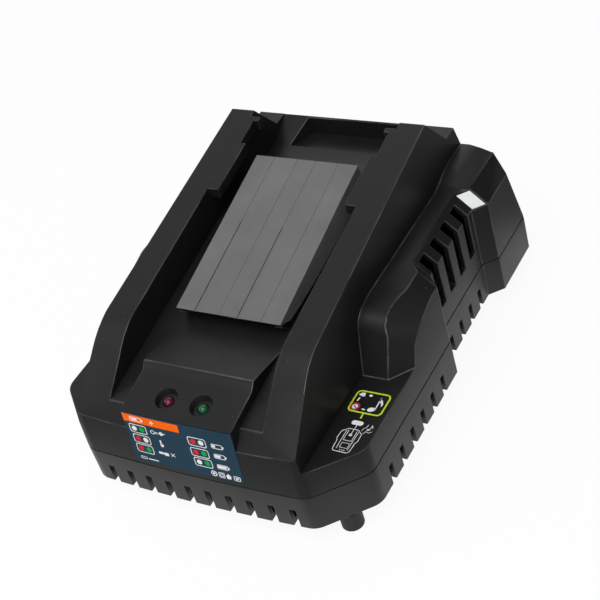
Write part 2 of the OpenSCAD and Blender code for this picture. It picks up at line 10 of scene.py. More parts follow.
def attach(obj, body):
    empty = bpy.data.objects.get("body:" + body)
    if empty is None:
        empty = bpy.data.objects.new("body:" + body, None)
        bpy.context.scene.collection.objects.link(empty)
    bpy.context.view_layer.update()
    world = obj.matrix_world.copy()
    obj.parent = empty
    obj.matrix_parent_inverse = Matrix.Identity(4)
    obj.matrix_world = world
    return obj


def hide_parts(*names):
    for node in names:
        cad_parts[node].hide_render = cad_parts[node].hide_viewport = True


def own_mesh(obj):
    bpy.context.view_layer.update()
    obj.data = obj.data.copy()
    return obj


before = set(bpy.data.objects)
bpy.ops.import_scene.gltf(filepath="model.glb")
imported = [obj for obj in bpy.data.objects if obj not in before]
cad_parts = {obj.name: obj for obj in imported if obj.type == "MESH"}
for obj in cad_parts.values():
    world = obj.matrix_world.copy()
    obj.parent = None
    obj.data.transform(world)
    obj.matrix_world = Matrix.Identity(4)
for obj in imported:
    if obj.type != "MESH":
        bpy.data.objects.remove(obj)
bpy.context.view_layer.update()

MM = 0.001
# the drawing measures from the mid-plane, from the front edge and from the parting line
FRONT_EDGE = -94.5 * MM
PARTING = 27.5 * MM


def place(x, y, z):
    """A point given in the drawing's millimetres."""
    return Vector((x * MM, FRONT_EDGE + y * MM, PARTING + z * MM))


def drawn(point):
    """Where a point lies in the drawing's millimetres."""
    return point.x / MM, (point.y - FRONT_EDGE) / MM, (point.z - PARTING) / MM


# ---------------------------------------------------------------- selecting and making

def clear_selection():
    if bpy.context.mode != "OBJECT":
        bpy.ops.object.mode_set(mode="OBJECT")
    bpy.ops.object.select_all(action="DESELECT")


def take(obj):
    clear_selection()
    obj.select_set(True)
    bpy.context.view_layer.objects.active = obj


def open_mesh(obj):
    """Opens a mesh for editing, with all of it selected."""
    take(obj)
    bpy.ops.object.mode_set(mode="EDIT")
    bpy.ops.mesh.select_all(action="SELECT")


def close_mesh():
    bpy.ops.object.mode_set(mode="OBJECT")


def thicken(flat, height):
    """Gives a flat shape a height, in millimetres."""
    open_mesh(flat)
    bpy.ops.mesh.extrude_region_move(TRANSFORM_OT_translate={"value": (0, 0, height * MM)})
    close_mesh()


def face_outwards(obj):
    open_mesh(obj)
    bpy.ops.mesh.normals_make_consistent(inside=False)
    close_mesh()


def settle(obj):
    """Puts the object's place into its mesh, so that it sits at the origin."""
    take(obj)
    bpy.ops.object.transform_apply(location=True, rotation=True, scale=True)


def apply_modifiers(obj):
    take(obj)
    for modifier in list(obj.modifiers):
        bpy.ops.object.modifier_apply(modifier=modifier.name)


def round_off(obj, name, radius, limit):
    """Adds a rounding of two steps, to be applied with apply_modifiers."""
    rounding = obj.modifiers.new(name, "BEVEL")
    rounding.width = radius * MM
    rounding.segments = 2
    rounding.limit_method = limit
    return rounding


def finish_piece(obj, body, materials):
    settle(obj)
    obj.data.materials.clear()
    for material in materials:
        obj.data.materials.append(material)
    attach(obj, body)


def loose_copy(node, name):
    """A copy of a CAD node's mesh as a new piece."""
    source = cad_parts[node]
    piece = source.copy()
    piece.data = source.data.copy()
    piece.name = name
    for key in list(piece.keys()):
        if key.startswith("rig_"):
            del piece[key]
    bpy.context.scene.collection.objects.link(piece)
    piece.parent = None
    piece.matrix_world = Matrix.Identity(4)
    return piece


# ---------------------------------------------------------------- materials

# scales of the patterns, in waves to the metre: slow drift of a colour, marks of handling, screen of a print
DRIFT, HANDLING, SCREEN = 38, 90, 5200
# how far a moulding's colour drifts, as a share of it
BLOTCH = 0.12


def new_material(name):
    material = bpy.data.materials.new(name)
    material.use_nodes = True
    tree = material.node_tree
    tree.nodes.clear()
    out = tree.nodes.new("ShaderNodeOutputMaterial")
    shader = tree.nodes.new("ShaderNodeBsdfPrincipled")
    tree.links.new(shader.outputs["BSDF"], out.inputs["Surface"])
    return material, tree, shader


def object_point(tree):
    return tree.nodes.new("ShaderNodeTexCoord").outputs["Object"]


def noise(tree, scale, detail=3.0, roughness=0.5, where=None):
    node = tree.nodes.new("ShaderNodeTexNoise")
    node.inputs["Scale"].default_value = scale
    node.inputs["Detail"].default_value = detail
    node.inputs["Roughness"].default_value = roughness
    tree.links.new(where if where is not None else object_point(tree), node.inputs["Vector"])
    return node.outputs["Fac"]


def two_tones(tree, value, low, high, span=(0.3, 0.7)):
    """Fades from one colour to another while a value crosses a span."""
    node = tree.nodes.new("ShaderNodeValToRGB")
    first, last = node.color_ramp.elements[0], node.color_ramp.elements[1]
    first.position, first.color = span[0], (*low, 1)
    last.position, last.color = span[1], (*high, 1)
    tree.links.new(value, node.inputs["Fac"])
    return node.outputs["Color"]


def remap(tree, value, source=(0.0, 1.0), target=(0.0, 1.0), smooth=False):
    """Maps one range of a value to another and holds it at the ends."""
    node = tree.nodes.new("ShaderNodeMapRange")
    if smooth:
        node.interpolation_type = "SMOOTHSTEP"
    for name, bound in zip(("From Min", "From Max", "To Min", "To Max"), (*source, *target)):
        node.inputs[name].default_value = bound
    tree.links.new(value, node.inputs["Value"])
    return node.outputs["Result"]


def maths(tree, operation, first, second=0.0):
    """A number from two others, each a socket or a plain value."""
    node = tree.nodes.new("ShaderNodeMath")
    node.operation = operation
    for value, socket in ((first, node.inputs[0]), (second, node.inputs[1])):
        if isinstance(value, (int, float)):
            socket.default_value = value
        else:
            tree.links.new(value, socket)
    return node.outputs[0]


def grain_bump(tree, shader, heights):
    """Stacks bumps, each a (height, strength, depth in millimetres)."""
    last = None
    for height, strength, depth in heights:
        node = tree.nodes.new("ShaderNodeBump")
        node.inputs["Strength"].default_value = strength
        node.inputs["Distance"].default_value = depth * MM
        tree.links.new(height, node.inputs["Height"])
        if last is not None:
            tree.links.new(last, node.inputs["Normal"])
        last = node.outputs["Normal"]
    tree.links.new(last, shader.inputs["Normal"])


def tinted(colour, factor):
    return tuple(channel * factor for channel in colour)


def specks(tree, spacing, size):
    """Sparse round specks: 1 on a speck, 0 between them; spacing and size in millimetres."""
    cells = tree.nodes.new("ShaderNodeTexVoronoi")
    cells.inputs["Scale"].default_value = 1000 / spacing
    tree.links.new(object_point(tree), cells.inputs["Vector"])
    return remap(tree, cells.outputs["Distance"], (size / spacing, 0.4 * size / spacing))


def laid_over(tree, below, share, colour):
    """A plain colour mixed over another by a share."""
    mix = tree.nodes.new("ShaderNodeMix")
    mix.data_type = "RGBA"
    tree.links.new(share, mix.inputs["Factor"])
    tree.links.new(below, mix.inputs[6])
    mix.inputs[7].default_value = (*colour, 1)
    return mix.outputs[2]


def moulded(name, colour, rough=(0.42, 0.58), grain=2600, depth=0.35, sheen=0.5, dust=0.0):
    """Spark-textured moulded plastic with slight colour drift, a fine pebble grain and some dust."""
    material, tree, shader = new_material(name)
    paint = two_tones(tree, noise(tree, DRIFT, 4), tinted(colour, 1 - BLOTCH), tinted(colour, 1 + BLOTCH))
    if dust:
        paint = laid_over(tree, paint, specks(tree, 6.5, 0.2), (dust, dust, dust))
    tree.links.new(paint, shader.inputs["Base Color"])
    handling = noise(tree, HANDLING, 5, 0.65)
    tree.links.new(remap(tree, handling, target=rough), shader.inputs["Roughness"])
    shader.inputs["Specular IOR Level"].default_value = sheen
    grain_bump(tree, shader, [(noise(tree, grain, 2, 0.55), depth, 0.06), (handling, 0.05, 0.6)])
    return material


def worn_edge_and_highlight(name, plain, worn_highlight, gloss=0.28):
    """Edge of a moulding: polished by handling, and paler partly as wear and partly as painted highlight,
    palest where the noise runs high.
    """
    material, tree, shader = new_material(name)
    handling = noise(tree, HANDLING / 2, 6, 0.7)
    tree.links.new(two_tones(tree, handling, plain, worn_highlight, (0.4, 0.68)), shader.inputs["Base Color"])
    tree.links.new(remap(tree, handling, target=(gloss + 0.12, gloss - 0.04)), shader.inputs["Roughness"])
    shader.inputs["Specular IOR Level"].default_value = 0.5
    grain_bump(tree, shader, [(noise(tree, 1500, 2), 0.1, 0.04)])
    return material


def metal(name, colour, rough=(0.22, 0.4), brushed=(900, 900, 30)):
    """Metal with fine lines along the direction in which brushed is least."""
    material, tree, shader = new_material(name)
    mapping = tree.nodes.new("ShaderNodeMapping")
    mapping.inputs["Scale"].default_value = brushed
    tree.links.new(object_point(tree), mapping.inputs["Vector"])
    lines = noise(tree, 1.0, 4, 0.6, mapping.outputs["Vector"])
    tree.links.new(two_tones(tree, lines, tinted(colour, 0.88), colour), shader.inputs["Base Color"])
    shader.inputs["Metallic"].default_value = 1.0
    tree.links.new(remap(tree, lines, target=rough), shader.inputs["Roughness"])
    grain_bump(tree, shader, [(lines, 0.25, 0.03)])
    return material


def tinted_lens(name, colour, glow):
    """Coloured resin of a lamp that isn't lit, into which light soaks a little."""
    material, tree, shader = new_material(name)
    cloud = noise(tree, 260, 3)
    tree.links.new(two_tones(tree, cloud, tinted(colour, 0.8), tinted(colour, 1.25), (0.25, 0.75)),
                   shader.inputs["Base Color"])
    tree.links.new(remap(tree, cloud, target=(0.05, 0.1)), shader.inputs["Roughness"])
    shader.inputs["Specular IOR Level"].default_value = 0.45
    shader.inputs["Subsurface Weight"].default_value = 0.2
    shader.inputs["Subsurface Radius"].default_value = glow
    shader.inputs["Subsurface Scale"].default_value = 2 * MM
    return material


def printed(name, colour, rough=(0.3, 0.42), sheen=0.3):
    """Ink or film: even colour with a faint screen texture."""
    material, tree, shader = new_material(name)
    drift = noise(tree, 60, 3)
    tree.links.new(two_tones(tree, drift, tinted(colour, 0.95), tinted(colour, 1.04)),
                   shader.inputs["Base Color"])
    tree.links.new(remap(tree, drift, target=rough), shader.inputs["Roughness"])
    shader.inputs["Specular IOR Level"].default_value = sheen
    grain_bump(tree, shader, [(noise(tree, SCREEN, 1), 0.12, 0.02)])
    return material


HOUSING = moulded("housing_black", (0.0078, 0.008, 0.0084), rough=(0.32, 0.43), sheen=0.32, dust=0.2)
# edge finishes: paler than their mouldings, partly wear and partly painted highlight along the rounded edges
HOUSING_EDGE_HIGHLIGHT = worn_edge_and_highlight("housing_edge_highlight", (0.009, 0.009, 0.0095), (0.07, 0.07, 0.072))
BASE_EDGE_HIGHLIGHT = worn_edge_and_highlight("base_edge_highlight", (0.0105, 0.0107, 0.0112), (0.03, 0.03, 0.031))
COVER_EDGE_HIGHLIGHT = worn_edge_and_highlight("cover_edge_highlight", (0.13, 0.13, 0.132), (0.24, 0.24, 0.243), gloss=0.35)
BASE = moulded("base_black", (0.0115, 0.0117, 0.0122), rough=(0.34, 0.45), sheen=0.36, dust=0.08)
COVER = moulded("cover_grey", (0.13, 0.13, 0.132), rough=(0.5, 0.62), grain=2200, depth=0.25, sheen=0.25)
CARRIER = moulded("contact_carrier", (0.04, 0.04, 0.045), rough=(0.4, 0.55))
FOOT = moulded("foot_rubber", (0.014, 0.014, 0.015), rough=(0.55, 0.7), grain=1800, sheen=0.35)
LABEL = printed("label_navy", (0.014, 0.042, 0.069), rough=(0.45, 0.55), sheen=0.07)
STICKER = printed("sticker_silver", (0.76, 0.77, 0.78), rough=(0.25, 0.35))
RED_LENS = tinted_lens("lamp_red_lens", (0.085, 0.003, 0.018), (1.0, 0.1, 0.2))
GREEN_LENS = tinted_lens("lamp_green_lens", (0.004, 0.07, 0.026), (0.1, 1.0, 0.3))
SPRING = metal("spring_steel", (0.6, 0.61, 0.63))
CONTACT = metal("contact_metal", (0.78, 0.62, 0.3), brushed=(60, 900, 900))
SCREW = metal("screw_zinc", (0.55, 0.55, 0.57), rough=(0.3, 0.45))
PIN = metal("pin_plating", (0.75, 0.76, 0.78), rough=(0.12, 0.22))
SINK = metal("heat_sink_metal", (0.72, 0.73, 0.75), rough=(0.3, 0.45))
BOARD = printed("board_laminate", (0.02, 0.1, 0.045), rough=(0.28, 0.4))
FERRITE = moulded("ferrite", (0.035, 0.035, 0.038), rough=(0.5, 0.65), grain=3800)
TAPE = printed("winding_tape", (0.62, 0.38, 0.04), rough=(0.2, 0.32))
SLEEVE = printed("capacitor_sleeve", (0.02, 0.024, 0.036), rough=(0.2, 0.3))
FILTER = printed("filter_box", (0.58, 0.4, 0.05), rough=(0.25, 0.35))
CHOKE = moulded("choke_core", (0.08, 0.045, 0.03), rough=(0.3, 0.45))
DEVICE = moulded("device_body", (0.02, 0.02, 0.021), rough=(0.4, 0.5))
BUZZER = moulded("buzzer_body", (0.018, 0.018, 0.019), rough=(0.25, 0.35))
INLET = moulded("inlet_black", (0.012, 0.012, 0.013), rough=(0.28, 0.4))
GLASS = printed("fuse_glass", (0.7, 0.73, 0.74), rough=(0.05, 0.1))
LEAD_BROWN = moulded("lead_brown", (0.2, 0.07, 0.03), rough=(0.35, 0.45))
LEAD_RED = moulded("lead_red", (0.3, 0.02, 0.02), rough=(0.35, 0.45))

NODE_FINISH = {
    "upper_shell": HOUSING, "lower_shell": BASE, "terminal_cover": COVER, "cover_springs": SPRING,
    "terminal_block": CARRIER, "contact_blades": CONTACT, "lamp_red": RED_LENS, "lamp_green": GREEN_LENS,
    "lamp_board": BOARD, "main_board": BOARD, "transformer_core": FERRITE, "transformer_winding": TAPE,
    "bulk_capacitor": SLEEVE, "output_capacitors": SLEEVE, "filter_capacitor": FILTER,
    "filter_choke": CHOKE, "fuse": GLASS, "rectifier": DEVICE, "heat_sinks": SINK,
    "power_transistors": DEVICE, "buzzer": BUZZER, "mains_inlet": INLET, "inlet_pins": PIN,
    "mains_leads": LEAD_BROWN, "terminal_leads": LEAD_RED, "housing_screws": SCREW,
    "board_screws": SCREW, "feet": FOOT, "status_label": LABEL, "seal_sticker": STICKER,
}
for node_name, finish in NODE_FINISH.items():
    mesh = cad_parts[node_name].data
    mesh.materials.clear()
    mesh.materials.append(finish)


# ---------------------------------------------------------------- softened mouldings

# an edge that turns more than SHARP is rounded; faces that turn less than SMOOTH shade as one
SHARP, SMOOTH = math.radians(28), math.radians(38)
# facets that turn less than FLAT become one face, and points nearer than MERGE one point
FLAT, MERGE = math.radians(0.6), 0.000012
# what a rounding needs, in radii: length of its edge, width of its faces, length of the next edges
EDGE_NEED, FACE_NEED, NEXT_NEED = 2.6, 2.1, 2.3
# half the height of the band along the joint of the housings whose rounded edges keep the plain finish, without
# the painted highlight, in millimetres
JOINT_BAND = 0.6
# a side pod joins the rail wall and the shoulder outside of POD_SIDE and behind POD_FRONT
POD_SIDE, POD_FRONT = 44, 55

# the front wall leans back by so much for each millimetre of height, all of it up to LEAN_WHOLE behind the
# front edge and none of it from LEAN_END on
FRONT_LEAN, LEAN_WHOLE, LEAN_END = 0.095, 1.5, 4.5

# the cover's plate: its front edge, its slope, half its width and its thickness
PLATE_Y, PLATE_Z, PLATE_SLOPE, PLATE_HALF, PLATE_THICK = 52.2, 41.3, math.radians(13.2), 26.2, 2.2
# how far the underside of the plate's front edge is drawn back, and how close a point of it lies
EDGE_TAPER, CLOSE = 1.4, 0.05
# a side wall of the cover, as (distance from the front edge, depth under the top)
COVER_WALL = [(0.0, 0.2), (6.0, 4.9), (12.0, 6.1), (30.0, 8.5), (84.5, 12.0), (86.0, 0.2)]
WALL_INSIDE, WALL_DRAFT = 26.03, 0.09


def leaned_back(y, z):
    """How far the front wall lies back at a height."""
    share = min(1.0, max(0.0, (LEAN_END - y) / (LEAN_END - LEAN_WHOLE)))
    return share * FRONT_LEAN * max(0.0, z)


def lean_front(mesh):
    for vertex in mesh.vertices:
        _, y, z = drawn(vertex.co)
        vertex.co.y += leaned_back(y, z) * MM


def on_cover(x, along, depth):
    """A point of the cover, from how far up its slope it lies and how deep under its top."""
    run, rise = math.cos(PLATE_SLOPE), math.sin(PLATE_SLOPE)
    return place(x, PLATE_Y + along * run + depth * rise, PLATE_Z + along * rise - depth * run)


def thin_front(mesh):
    """Draws the underside of the cover's front edge back, so that only a thin rim stands out."""
    run, rise = math.cos(PLATE_SLOPE), math.sin(PLATE_SLOPE)
    for vertex in mesh.vertices:
        _, y, z = drawn(vertex.co)
        y, z = y - PLATE_Y, z - PLATE_Z
        along, above = y * run + z * rise, z * run - y * rise
        if abs(above + PLATE_THICK) < CLOSE and abs(along) < CLOSE:
            vertex.co.y += EDGE_TAPER * run * MM
            vertex.co.z += EDGE_TAPER * rise * MM


def has_room(edge, radius):
    """Whether the two faces beside an edge are wide enough for a rounding."""
    start, end = (vertex.co for vertex in edge.verts)
    along = end - start
    length = along.length
    if length < EDGE_NEED * radius:
        return False
    along /= length
    for face in edge.link_faces:
        for corner in face.verts:
            if corner in edge.verts:
                continue
            reach = corner.co - start
            run = reach.dot(along)
            width = (reach - along * run).length
            if -radius < run < length + radius and width < FACE_NEED * radius:
                return False
    for vertex in edge.verts:
        for other in vertex.link_edges:
            if other is not edge and other.calc_length() < NEXT_NEED * radius:
                return False
    return True


def beside_pod(edge):
    """Whether an edge lies where a side pod joins the rail wall and the shoulder."""
    for vertex in edge.verts:
        x, y, _ = drawn(vertex.co)
        if abs(x) <= POD_SIDE or y <= POD_FRONT:
            return False
    return True


def mark_roundable(mesh, radius):
    """Marks the sharp edges that the mould rounds: those that stand out, and the pods' joins; their roundings
    take the edge finish with its painted highlight.
    """
    shape = bmesh.new()
    shape.from_mesh(mesh)
    weight = shape.edges.layers.float.new("bevel_weight_edge")
    for edge in shape.edges:
        if len(edge.link_faces) != 2 or edge.calc_face_angle() < SHARP:
            continue
        if (edge.is_convex or beside_pod(edge)) and has_room(edge, radius):
            edge[weight] = 1.0
    shape.to_mesh(mesh)
    shape.free()


def softened(node, name, radius, edge, body="charger", reshape=None):
    """A moulding like the CAD node, its sharp edges rounded by the mould and given a paler edge finish that is
    partly wear and partly painted highlight.
    """
    piece = loose_copy(node, name)
    if reshape:
        reshape(piece.data)
    piece.data.materials.append(edge)
    open_mesh(piece)
    bpy.ops.mesh.customdata_custom_splitnormals_clear()
    bpy.ops.mesh.remove_doubles(threshold=MERGE)
    bpy.ops.mesh.dissolve_limited(angle_limit=FLAT)
    close_mesh()
    mark_roundable(piece.data, radius * MM)
    rounding = round_off(piece, "mould_rounding", radius, "WEIGHT")
    rounding.miter_outer = "MITER_SHARP"
    rounding.use_clamp_overlap = False
    # the rounding's faces take the edge finish: wear, and a paler colour painted as highlight along the edge
    rounding.material = 1
    apply_modifiers(piece)
    take(piece)
    bpy.ops.object.shade_smooth_by_angle(angle=SMOOTH)
    even = piece.modifiers.new("even_shading", "WEIGHTED_NORMAL")
    even.mode = "FACE_AREA"
    even.weight = 100
    even.keep_sharp = True
    apply_modifiers(piece)
    finishes = [
        0 if abs(face.center.z - PARTING) < JOINT_BAND * MM else face.material_index
        for face in piece.data.polygons]
    finish_piece(piece, body, (NODE_FINISH[node], edge))
    piece.data.polygons.foreach_set("material_index", finishes)
    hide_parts(node)


def coil_springs():
    """The cover's springs, copied on a mesh of their own; in the charger they shorten towards their fixed stops
    as the cover slides down.
    """
    springs = loose_copy("cover_springs", "sprung_coils")
    finish_piece(springs, "charger", (SPRING,))
    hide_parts("cover_springs")
    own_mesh(springs)


def label_base():
    film = loose_copy("status_label", "label_film")
    lean_front(film.data)
    finish_piece(film, "charger", (LABEL,))
    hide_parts("status_label")


def cut_shape(points):
    """A flat shape with the given corners."""
    bpy.ops.mesh.primitive_circle_add(vertices=len(points), radius=MM, fill_type="NGON")
    flat = bpy.context.active_object
    for vertex, (x, y) in zip(flat.data.vertices, points):
        vertex.co = (x * MM, y * MM, 0)
    return flat


def cover_wall(side, name):
    """A side wall of the cover, cut at a slant in front and deeper towards the back."""
    wall = cut_shape(COVER_WALL)
    wall.name = name
    thicken(wall, 1)
    for vertex in wall.data.vertices:
        along, depth, outer = (value / MM for value in vertex.co)
        x = WALL_INSIDE + outer * (PLATE_HALF - WALL_INSIDE + WALL_DRAFT * depth)
        vertex.co = on_cover(side * x, along, depth)
    face_outwards(wall)
    round_off(wall, "wall_rounding", 0.07, "NONE")
    apply_modifiers(wall)
    finish_piece(wall, "cover", (COVER,))


softened("upper_shell", "upper_moulding", 0.4, HOUSING_EDGE_HIGHLIGHT, reshape=lean_front)
softened("lower_shell", "lower_moulding", 0.3, BASE_EDGE_HIGHLIGHT)
softened("terminal_cover", "cover_moulding", 0.22, COVER_EDGE_HIGHLIGHT, "cover", thin_front)
coil_springs()
label_base()
cover_wall(-1, "cover_wall_left")
cover_wall(1, "cover_wall_right")


# ---------------------------------------------------------------- printing

# the film on the bowed front: half the bow's width, the chords in it, how far it bows out, and how far the film
# stands off it
BOW_HALF, BOW_CHORDS, BOW_OUT, FILM = 54.75, 8, 1.5, 0.12
# how far ink starts off the film, and the steps in which it bends with it
INK_GAP, BEND_STEP, BEND_REACH = 0.004, 2, 26
# where ink starts over the shoulder, and how thick it is there
SHOULDER_TOP, SHOULDER_INK = 13.104, 0.03


def disc(x, y, radius, sides=24):
    bpy.ops.mesh.primitive_circle_add(
        vertices=sides, radius=radius * MM, fill_type="NGON", location=(x * MM, y * MM, 0))
    return bpy.context.active_object


def patch(x, y, width, height, corner=0.0):
    """A flat rectangle, its corners rounded if corner is given."""
    bpy.ops.mesh.primitive_plane_add(size=1, location=(x * MM, y * MM, 0))
    flat = bpy.context.active_object
    flat.scale = (width * MM, height * MM, 1)
    settle(flat)
    if corner:
        open_mesh(flat)
        bpy.ops.mesh.bevel(offset=corner * MM, segments=5, affect="VERTICES")
        close_mesh()
    return flat


def hollowed(flat, line):
    """Leaves only a rim of a flat shape, line wide."""
    take(flat)
    bpy.ops.object.mode_set(mode="EDIT")
    bpy.ops.mesh.select_mode(type="FACE")
    bpy.ops.mesh.select_all(action="SELECT")
    bpy.ops.mesh.inset(thickness=line * MM)
    bpy.ops.mesh.delete(type="FACE")
    close_mesh()
    return flat


def stroke(x0, y0, x1, y1, line):
    """A straight line of ink."""
    flat = patch(0, 0, math.hypot(x1 - x0, y1 - y0), line)
    flat.rotation_euler = (0, 0, math.atan2(y1 - y0, x1 - x0))
    flat.location = ((x0 + x1) / 2 * MM, (y0 + y1) / 2 * MM, 0)
    settle(flat)
    return flat


def outline(points, line, closed=True):
    """A line of ink through the given points."""
    ends = points[1:] + points[:1] if closed else points[1:]
    joints = [disc(x, y, line / 2, 10) for x, y in points]
    return [stroke(*start, *end, line) for start, end in zip(points, ends)] + joints


def note_shapes(x, y, size):
    """A quaver: head, stem and flag."""
    head = disc(x, y, 0.9 * size, 20)
    head.scale = (1.25, 0.85, 1)
    head.rotation_euler = (0, 0, 0.4)
    settle(head)
    stem = patch(x + 1.0 * size, y + 2.4 * size, 0.36 * size, 4.6 * size)
    flag = [(0.84, 4.7), (0.84, 3.5), (1.9, 2.5), (2.1, 1.4), (2.5, 2.5), (1.8, 3.7)]
    return [head, stem, cut_shape([(x + across * size, y + up * size) for across, up in flag])]


def print_ink(name, shapes, ink, thickness, lay):
    """Joins flat shapes into one thin layer of ink and lays it on the housing."""
    for flat in shapes:
        settle(flat)
    clear_selection()
    for flat in shapes:
        flat.select_set(True)
    bpy.context.view_layer.objects.active = shapes[0]
    if len(shapes) > 1:
        bpy.ops.object.join()
    layer = bpy.context.active_object
    layer.name = name
    thicken(layer, thickness)
    face_outwards(layer)
    lay(layer)
    finish_piece(layer, "charger", (ink,))


def label_front(x):
    """How far the bowed label stands before the front edge, in millimetres, at x."""
    chord = BOW_HALF / BOW_CHORDS
    i = math.floor(x / chord)
    part = x / chord - i
    bow = [BOW_OUT * (1 - ((i + n) / BOW_CHORDS) ** 2) for n in (0, 1)]
    return FILM + bow[0] * (1 - part) + bow[1] * part


def on_label(layer):
    """Wraps a flat layer, drawn as x and height, on to the bowed front label."""
    open_mesh(layer)
    for x in range(-BEND_REACH, BEND_REACH + 1, BEND_STEP):
        bpy.ops.mesh.select_all(action="SELECT")
        bpy.ops.mesh.bisect(plane_co=(x * MM, 0, 0), plane_no=(1, 0, 0))
    close_mesh()
    for vertex in layer.data.vertices:
        x, height, rise = (value / MM for value in vertex.co)
        front = -label_front(x) - INK_GAP - rise
        vertex.co = place(x, front + leaned_back(front, height), height)
    face_outwards(layer)


def on_shoulder(layer):
    """Lays a flat layer, drawn as x and depth, on the right shoulder."""
    for vertex in layer.data.vertices:
        x, depth, rise = (value / MM for value in vertex.co)
        vertex.co = place(x, depth, SHOULDER_TOP + rise)


WHITE_INK = printed("ink_white", (0.72, 0.72, 0.72), sheen=0.04)
ORANGE_INK = printed("ink_orange", (0.85, 0.12, 0.0), sheen=0.04)
GREEN_INK = printed("ink_green", (0.004, 0.34, 0.055), sheen=0.04)
RED_INK = printed("ink_red", (0.62, 0.018, 0.025), sheen=0.04)
LIME_INK = printed("ink_lime", (0.5, 0.62, 0.03), sheen=0.04)

# each status box: centre, then the colours of its two lamp dots
STATUS_BOXES = [
    (-20.65, 20.3, "white", "green"), (-20.3, 14.75, "red", "white"), (-20.3, 9.5, "red", "green"),
    (9.05, 20.5, "red", "white"), (9.0, 14.8, "red", "green"), (9.25, 9.5, "white", "green"),
]
# width, height, corner and line of a status box; radius of its dots, and how far they lie from its centre
STATUS_BOX, STATUS_LINE = (8.9, 4.7, 1.1), 0.36
DOT_RADIUS, DOT_ACROSS, DOT_UP = 1.28, 1.95, 0.05
# each charge level beside the right column: its height on the label, and how full it is
CHARGE_LEVELS = [(20.3, 0.35), (14.9, 0.65), (9.2, 1.0)]
# ink heights over the film: the orange bar, and what is printed beside or on it
BAR_INK, SIGN_INK = 0.02, 0.04


def level_sign(z, level):
    """A battery, filled as far as its level."""
    return [hollowed(patch(18.6, z, 5.4, 2.5, 0.7), 0.32), patch(21.6, z, 0.5, 1.1),
            patch(16.4 + 2.0 * level, z, 4.2 * level, 1.3, 0.2)]


def left_signs():
    """Lamp, thermometer and crossed pack beside the left column, and a pack under it."""
    return [
        hollowed(disc(-13.1, 20.5, 1.1), 0.34), patch(-11.2, 20.8, 1.2, 0.32), patch(-11.2, 20.1, 1.2, 0.32),
        disc(-8.8, 20.6, 1.0), stroke(-10.2, 20.5, -6.8, 20.8, 0.4),
        patch(-10.4, 15.4, 0.8, 2.8, 0.35), disc(-10.1, 14.0, 0.85),
        patch(-11.9, 9.5, 2.6, 1.2, 0.4), patch(-9.3, 9.3, 2.4, 1.7, 0.5),
        stroke(-6.9, 10.5, -5.0, 8.8, 0.34), stroke(-6.9, 8.8, -5.0, 10.5, 0.34),
        hollowed(patch(-22.6, 4.1, 3.6, 1.4, 0.65), 0.28), patch(-17.6, 4.0, 5.2, 0.5, 0.2)]


def corner_signs():
    """Ring, double square, house and pack in the lower right corner."""
    house = [(18.7, 4.5), (20.2, 6.0), (21.7, 4.5), (21.2, 4.5), (21.2, 3.2), (19.2, 3.2), (19.2, 4.5)]
    return [
        hollowed(disc(13.2, 4.7, 1.5), 0.42), disc(13.2, 4.7, 0.6),
        hollowed(patch(16.9, 4.6, 2.8, 2.8, 0.3), 0.3), hollowed(patch(16.9, 4.6, 1.5, 1.5, 0.1), 0.26),
        cut_shape(house),
        hollowed(patch(24.2, 4.3, 3.2, 2.5, 0.5), 0.32), patch(24.2, 4.3, 1.5, 0.9, 0.2)]


def bar_signs():
    """Pack and bolt on the orange bar."""
    bolt = [(-11.6, 27.0), (-13.4, 25.3), (-12.2, 25.3), (-12.9, 24.1), (-10.9, 25.8), (-12.1, 25.8)]
    return [
        hollowed(patch(-20.4, 25.6, 6.2, 2.3, 0.5), 0.36), patch(-17.0, 25.6, 0.5, 1.1),
        patch(-21.2, 25.6, 3.0, 1.0, 0.2), cut_shape(bolt)]


def print_label():
    inks = {"white": [], "green": [], "red": []}
    for x, z, first, second in STATUS_BOXES:
        inks["white"].append(hollowed(patch(x, z, *STATUS_BOX), STATUS_LINE))
        inks[first].append(disc(x - DOT_ACROSS, z - DOT_UP, DOT_RADIUS))
        inks[second].append(disc(x + DOT_ACROSS, z + DOT_UP, DOT_RADIUS))
    for z, level in CHARGE_LEVELS:
        inks["white"] += level_sign(z, level)
    inks["white"] += left_signs() + corner_signs() + bar_signs()
    bar = [patch(-12.8, 25.65, 28.4, 4.1)]
    for name, shapes, ink, rise in (
            ("label_bar", bar, ORANGE_INK, BAR_INK), ("label_white", inks["white"], WHITE_INK, SIGN_INK),
            ("label_green", inks["green"], GREEN_INK, SIGN_INK), ("label_red", inks["red"], RED_INK, SIGN_INK)):
        print_ink(name, shapes, ink, rise, on_label)


def sound_signs():
    """In the frame: a note and the arrows that lead to the crossed-out sound."""
    return note_shapes(67.3, 41.2, 1.5) + [
        cut_shape([(58.3, 48.0), (59.5, 49.3), (60.9, 49.5), (61.4, 47.5), (60.0, 47.3)]),
        cut_shape([(62.9, 48.7), (63.8, 49.2), (64.7, 48.5), (64.0, 47.8), (63.0, 48.1)]),
        cut_shape([(58.9, 44.5), (59.7, 44.5), (59.9, 46.3), (59.3, 46.5)]),
        cut_shape([(63.0, 40.6), (64.0, 41.1), (65.0, 40.4), (64.0, 40.1)]),
        disc(59.8, 41.3, 1.35)]


